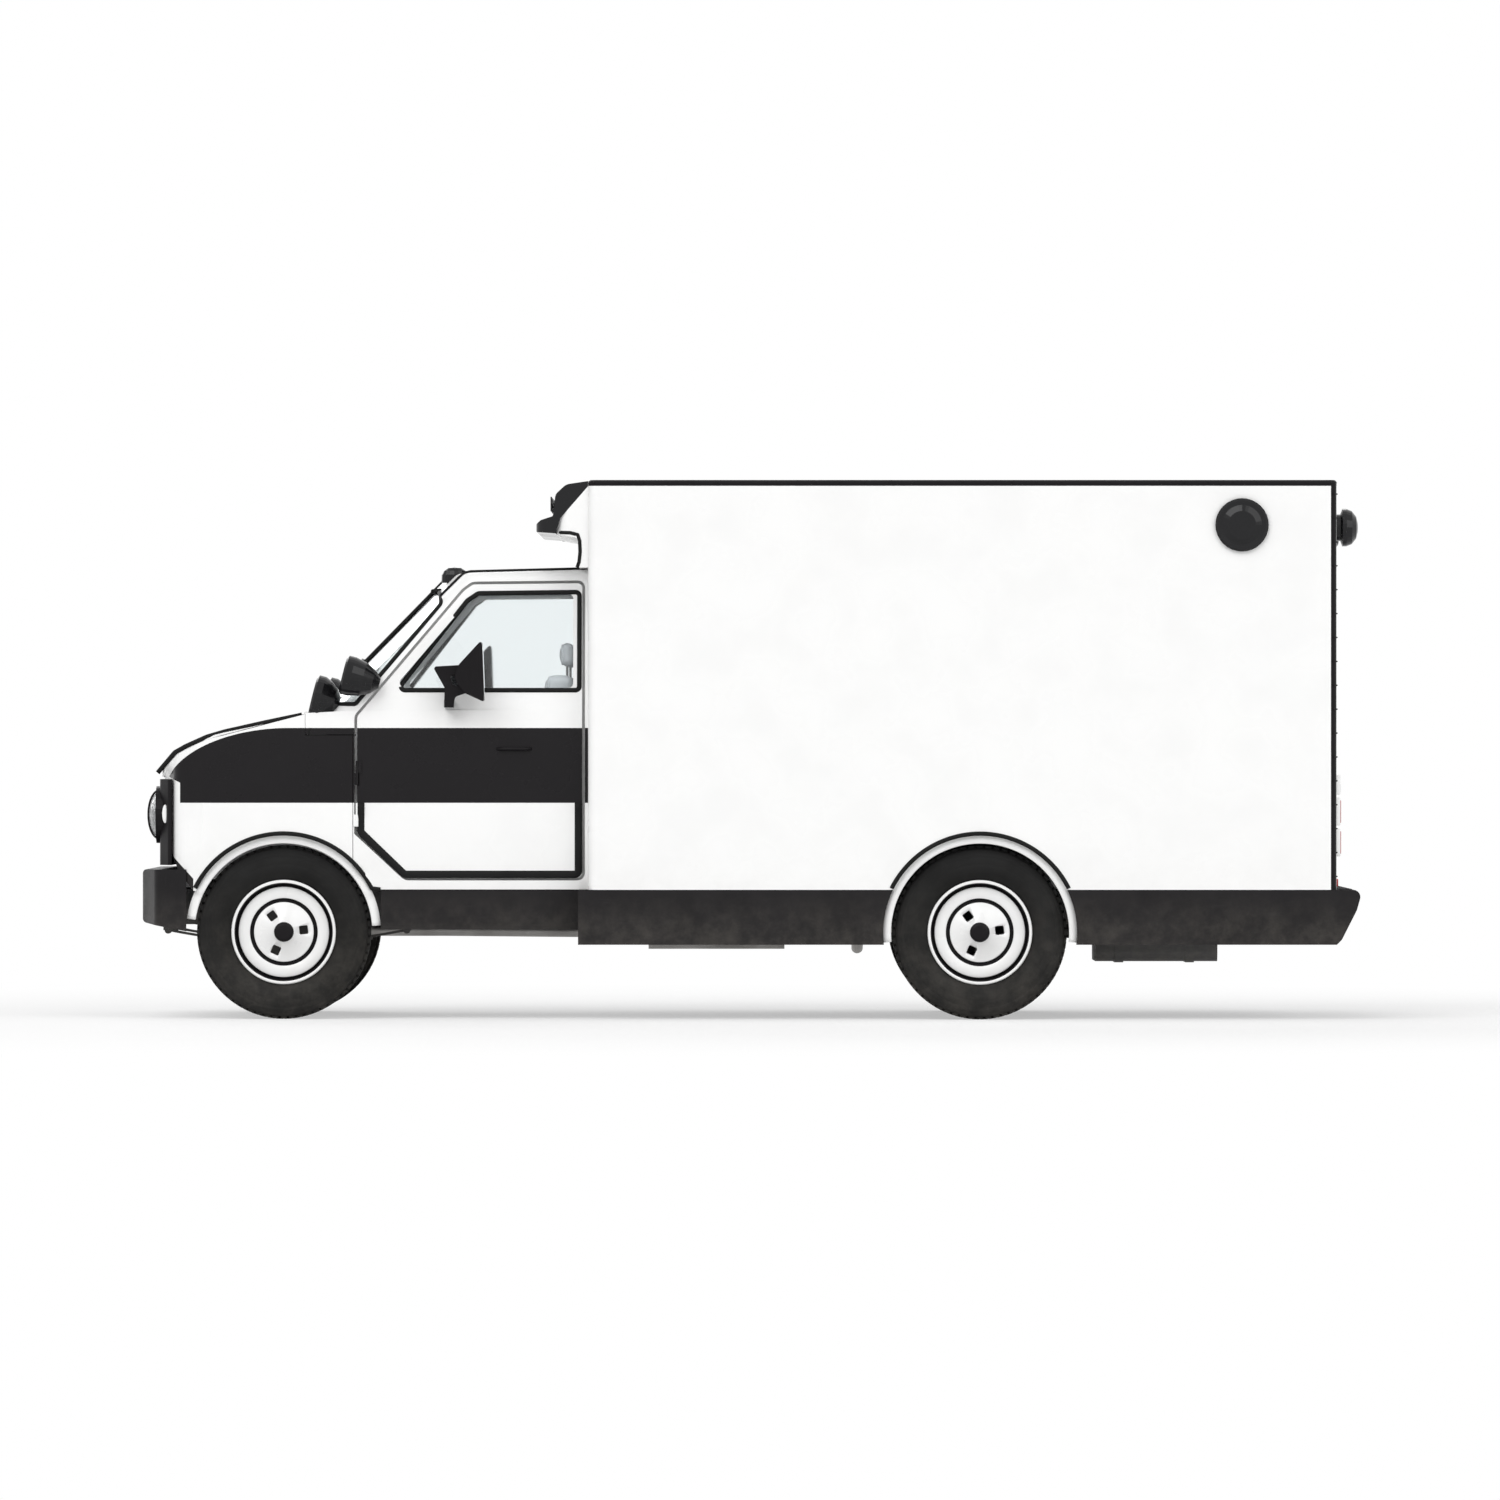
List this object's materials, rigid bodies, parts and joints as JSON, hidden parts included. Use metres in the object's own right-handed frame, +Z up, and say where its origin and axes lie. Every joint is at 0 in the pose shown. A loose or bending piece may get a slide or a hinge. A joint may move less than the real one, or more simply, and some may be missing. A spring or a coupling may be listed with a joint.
{
  "type": "ambulance",
  "caption": "Box-type ambulance on a cut-away van chassis, with opening doors and hood, coupled steering and free-turning wheels.",
  "frame": {"origin": "on the ground below the middle of the overall length and width", "axes": "the front faces -X, +Y is the vehicle's right-hand side, +Z is up"},
  "size_m": [6.1367, 2.42, 2.711],
  "materials": {
    "white_paint": "gloss",
    "black_trim": "satin",
    "black_bumper": "satin",
    "frame_paint": "satin",
    "bare_steel": "satin",
    "engine_iron": "matte",
    "radiator_alloy": "satin",
    "tank_steel": "satin",
    "window_glass": "clear",
    "wheel_paint": "gloss",
    "tyre_rubber": "matte",
    "lamp_black": "gloss",
    "lamp_clear": "clear",
    "lamp_amber": "gloss",
    "lamp_red": "gloss",
    "dash_plastic": "matte",
    "wheel_plastic": "satin",
    "seat_vinyl": "satin",
    "floor_lining": "satin",
    "locker_laminate": "satin",
    "bench_vinyl": "satin"
  },
  "bodies": {
    "vehicle": {"frame_rails": "frame_paint", "engine_block": "engine_iron", "radiator": "radiator_alloy", "driveshaft": "bare_steel", "exhaust": "bare_steel", "fuel_tank": "tank_steel", "front_axle": "frame_paint", "rear_axle": "frame_paint", "cab_shell": "white_paint", "windscreen": "window_glass", "front_clip": "white_paint", "grille": "black_trim", "head_lamps": "lamp_black", "lamp_lenses": "lamp_clear", "front_bumper": "black_bumper", "marker_lamps": "lamp_amber", "spot_lamps": "lamp_black", "engine_cover": "dash_plastic", "dashboard": "dash_plastic", "cab_seats": "seat_vinyl", "box_floor": "floor_lining", "box_left_wall": "white_paint", "box_right_wall": "white_paint", "box_front_wall": "white_paint", "box_rear_wall": "white_paint", "box_roof": "white_paint", "box_trim": "black_trim", "box_cap": "white_paint", "front_light_bar": "black_trim", "tail_lamps": "lamp_red", "warning_lamps": "lamp_black", "skirts": "black_bumper", "rear_bumper": "black_bumper", "cabinets": "locker_laminate", "bench_cushion": "bench_vinyl"},
    "steering_wheel": {"steering_wheel": "wheel_plastic"},
    "hood": {"hood": "white_paint"},
    "side_door": {"side_door": "white_paint", "side_door_glass": "window_glass"},
    "knuckle_left": {"knuckle_left": "frame_paint"},
    "front_wheel_left": {"front_rim_left": "wheel_paint", "front_tyre_left": "tyre_rubber"},
    "rear_wheels_left": {"rear_rims_left": "wheel_paint", "rear_tyres_left": "tyre_rubber"},
    "cab_door_left": {"cab_door_left": "white_paint", "cab_door_glass_left": "window_glass", "mirror_left": "black_trim"},
    "rear_door_left": {"rear_door_left": "white_paint", "rear_door_glass_left": "window_glass"},
    "knuckle_right": {"knuckle_right": "frame_paint"},
    "front_wheel_right": {"front_rim_right": "wheel_paint", "front_tyre_right": "tyre_rubber"},
    "rear_wheels_right": {"rear_rims_right": "wheel_paint", "rear_tyres_right": "tyre_rubber"},
    "cab_door_right": {"cab_door_right": "white_paint", "cab_door_glass_right": "window_glass", "mirror_right": "black_trim"},
    "rear_door_right": {"rear_door_right": "white_paint", "rear_door_glass_right": "window_glass"}
  },
  "joints": [
    {"name": "steer_left", "type": "hinge", "parent": "vehicle", "child": "knuckle_left", "pos_m": [-2.347, -0.803, 0.438], "axis": [0, 0, 1], "range_deg": [-32, 32]},
    {"name": "front_wheel_spin_left", "type": "hinge", "parent": "knuckle_left", "child": "front_wheel_left", "pos_m": [-2.347, -0.853, 0.438], "axis": [0, 1, 0], "continuous": true},
    {"name": "rear_wheels_spin_left", "type": "hinge", "parent": "vehicle", "child": "rear_wheels_left", "pos_m": [1.158, -1.003, 0.438], "axis": [0, 1, 0], "continuous": true},
    {"name": "cab_door_left_swing", "type": "hinge", "parent": "vehicle", "child": "cab_door_left", "pos_m": [-1.975, -1.012, 1.2], "axis": [0, 0, -1], "range_deg": [0, 70]},
    {"name": "rear_door_left_swing", "type": "hinge", "parent": "vehicle", "child": "rear_door_left", "pos_m": [2.96, -0.6035, 1.5], "axis": [0, 0, -1], "range_deg": [0, 150]},
    {"name": "steer_right", "type": "hinge", "parent": "vehicle", "child": "knuckle_right", "pos_m": [-2.347, 0.803, 0.438], "axis": [0, 0, 1], "range_deg": [-32, 32]},
    {"name": "front_wheel_spin_right", "type": "hinge", "parent": "knuckle_right", "child": "front_wheel_right", "pos_m": [-2.347, 0.853, 0.438], "axis": [0, 1, 0], "continuous": true},
    {"name": "rear_wheels_spin_right", "type": "hinge", "parent": "vehicle", "child": "rear_wheels_right", "pos_m": [1.158, 1.003, 0.438], "axis": [0, 1, 0], "continuous": true},
    {"name": "cab_door_right_swing", "type": "hinge", "parent": "vehicle", "child": "cab_door_right", "pos_m": [-1.975, 1.012, 1.2], "axis": [0, 0, 1], "range_deg": [0, 70]},
    {"name": "rear_door_right_swing", "type": "hinge", "parent": "vehicle", "child": "rear_door_right", "pos_m": [2.96, 0.6035, 1.5], "axis": [0, 0, 1], "range_deg": [0, 150]},
    {"name": "steering_wheel_turn", "type": "hinge", "parent": "vehicle", "child": "steering_wheel", "pos_m": [-1.57, -0.565, 1.43], "axis": [0.8192, 0, 0.5736], "range_deg": [-512, 512]},
    {"name": "hood_lift", "type": "hinge", "parent": "vehicle", "child": "hood", "pos_m": [-2.246, 0, 1.541], "axis": [0, 1, 0], "range_deg": [0, 55]},
    {"name": "side_door_swing", "type": "hinge", "parent": "vehicle", "child": "side_door", "pos_m": [-0.6435, 1.181, 1.6], "axis": [0, 0, 1], "range_deg": [0, 100]}
  ],
  "couplings": [
    {"joint": "steer_right", "follows": "steer_left", "ratio": 1},
    {"joint": "steering_wheel_turn", "follows": "steer_left", "ratio": 16}
  ]
}
